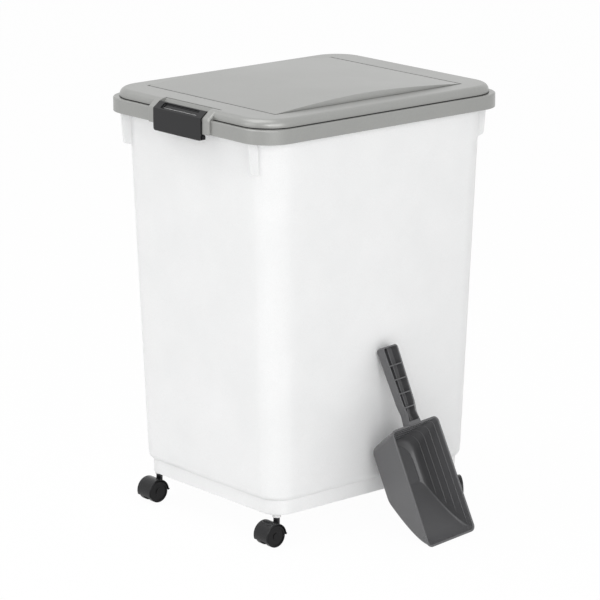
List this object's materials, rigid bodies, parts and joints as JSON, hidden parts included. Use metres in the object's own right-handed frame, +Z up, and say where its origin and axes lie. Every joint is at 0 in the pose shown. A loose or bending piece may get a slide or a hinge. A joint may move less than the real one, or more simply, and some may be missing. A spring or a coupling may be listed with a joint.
{
  "type": "rolling pet food bin",
  "caption": "Tall tapered food bin on twin-wheel swivel casters, with a hinged domed lid, a snap latch, a lid seal and a leaning scoop.",
  "frame": {"origin": "on the floor, midway between the four caster stems, under the middle of the tub", "axes": "+Z up; the latch is on the -Y side, the hinge on the +Y side; the scoop leans on the +X side"},
  "size_m": [0.4664, 0.4655, 0.6193],
  "materials": {
    "tub_plastic": "satin translucent",
    "lid_plastic": "satin with a fine grain",
    "seal_rubber": "soft matte",
    "latch_plastic": "gloss",
    "pin_steel": "drawn wire",
    "caster_plastic": "satin",
    "wheel_plastic": "satin",
    "scoop_plastic": "satin"
  },
  "bodies": {
    "base": {"tub": "tub_plastic", "hinge_pin_left": "pin_steel", "hinge_pin_right": "pin_steel", "front_left_caster_stem": "pin_steel", "front_left_grip_ring": "pin_steel", "front_right_caster_stem": "pin_steel", "front_right_grip_ring": "pin_steel", "rear_left_caster_stem": "pin_steel", "rear_left_grip_ring": "pin_steel", "rear_right_caster_stem": "pin_steel", "rear_right_grip_ring": "pin_steel"},
    "lid_group": {"lid": "lid_plastic", "lid_seal": "seal_rubber", "latch_pin": "pin_steel"},
    "latch_group": {"latch": "latch_plastic"},
    "scoop_group": {"scoop": "scoop_plastic"},
    "front_left_swivel": {"front_left_caster_hood": "caster_plastic", "front_left_axle": "pin_steel"},
    "front_left_wheel_a_group": {"front_left_wheel_a": "wheel_plastic"},
    "front_left_wheel_b_group": {"front_left_wheel_b": "wheel_plastic"},
    "front_right_swivel": {"front_right_caster_hood": "caster_plastic", "front_right_axle": "pin_steel"},
    "front_right_wheel_a_group": {"front_right_wheel_a": "wheel_plastic"},
    "front_right_wheel_b_group": {"front_right_wheel_b": "wheel_plastic"},
    "rear_left_swivel": {"rear_left_caster_hood": "caster_plastic", "rear_left_axle": "pin_steel"},
    "rear_left_wheel_a_group": {"rear_left_wheel_a": "wheel_plastic"},
    "rear_left_wheel_b_group": {"rear_left_wheel_b": "wheel_plastic"},
    "rear_right_swivel": {"rear_right_caster_hood": "caster_plastic", "rear_right_axle": "pin_steel"},
    "rear_right_wheel_a_group": {"rear_right_wheel_a": "wheel_plastic"},
    "rear_right_wheel_b_group": {"rear_right_wheel_b": "wheel_plastic"}
  },
  "joints": [
    {"name": "lid_hinge", "type": "hinge", "parent": "base", "child": "lid_group", "pos_m": [0, 0.23, 0.577], "axis": [-1, 0, 0], "range_deg": [0, 110]},
    {"name": "latch_pivot", "type": "hinge", "parent": "lid_group", "child": "latch_group", "pos_m": [0, -0.2238, 0.6002], "axis": [-1, 0, 0], "range_deg": [0, 100]},
    {"name": "front_left_swivel_turn", "type": "hinge", "parent": "base", "child": "front_left_swivel", "pos_m": [-0.132, -0.165, 0.03], "axis": [0, 0, 1], "continuous": true},
    {"name": "front_left_wheel_a_roll", "type": "hinge", "parent": "front_left_swivel", "child": "front_left_wheel_a_group", "pos_m": [-0.132, -0.177, 0.016], "axis": [1, 0, 0], "continuous": true},
    {"name": "front_left_wheel_b_roll", "type": "hinge", "parent": "front_left_swivel", "child": "front_left_wheel_b_group", "pos_m": [-0.132, -0.177, 0.016], "axis": [1, 0, 0], "continuous": true},
    {"name": "front_right_swivel_turn", "type": "hinge", "parent": "base", "child": "front_right_swivel", "pos_m": [0.132, -0.165, 0.03], "axis": [0, 0, 1], "continuous": true},
    {"name": "front_right_wheel_a_roll", "type": "hinge", "parent": "front_right_swivel", "child": "front_right_wheel_a_group", "pos_m": [0.132, -0.177, 0.016], "axis": [1, 0, 0], "continuous": true},
    {"name": "front_right_wheel_b_roll", "type": "hinge", "parent": "front_right_swivel", "child": "front_right_wheel_b_group", "pos_m": [0.132, -0.177, 0.016], "axis": [1, 0, 0], "continuous": true},
    {"name": "rear_left_swivel_turn", "type": "hinge", "parent": "base", "child": "rear_left_swivel", "pos_m": [-0.132, 0.165, 0.03], "axis": [0, 0, 1], "continuous": true},
    {"name": "rear_left_wheel_a_roll", "type": "hinge", "parent": "rear_left_swivel", "child": "rear_left_wheel_a_group", "pos_m": [-0.132, 0.153, 0.016], "axis": [1, 0, 0], "continuous": true},
    {"name": "rear_left_wheel_b_roll", "type": "hinge", "parent": "rear_left_swivel", "child": "rear_left_wheel_b_group", "pos_m": [-0.132, 0.153, 0.016], "axis": [1, 0, 0], "continuous": true},
    {"name": "rear_right_swivel_turn", "type": "hinge", "parent": "base", "child": "rear_right_swivel", "pos_m": [0.132, 0.165, 0.03], "axis": [0, 0, 1], "continuous": true},
    {"name": "rear_right_wheel_a_roll", "type": "hinge", "parent": "rear_right_swivel", "child": "rear_right_wheel_a_group", "pos_m": [0.14239, 0.159, 0.016], "axis": [0.5, 0.866, 0], "continuous": true},
    {"name": "rear_right_wheel_b_roll", "type": "hinge", "parent": "rear_right_swivel", "child": "rear_right_wheel_b_group", "pos_m": [0.14239, 0.159, 0.016], "axis": [0.5, 0.866, 0], "continuous": true},
    {"name": "scoop_lift", "type": "slide", "parent": "base", "child": "scoop_group", "axis": [0.342, 0, 0.9397], "range_m": [0, 0.15]}
  ]
}
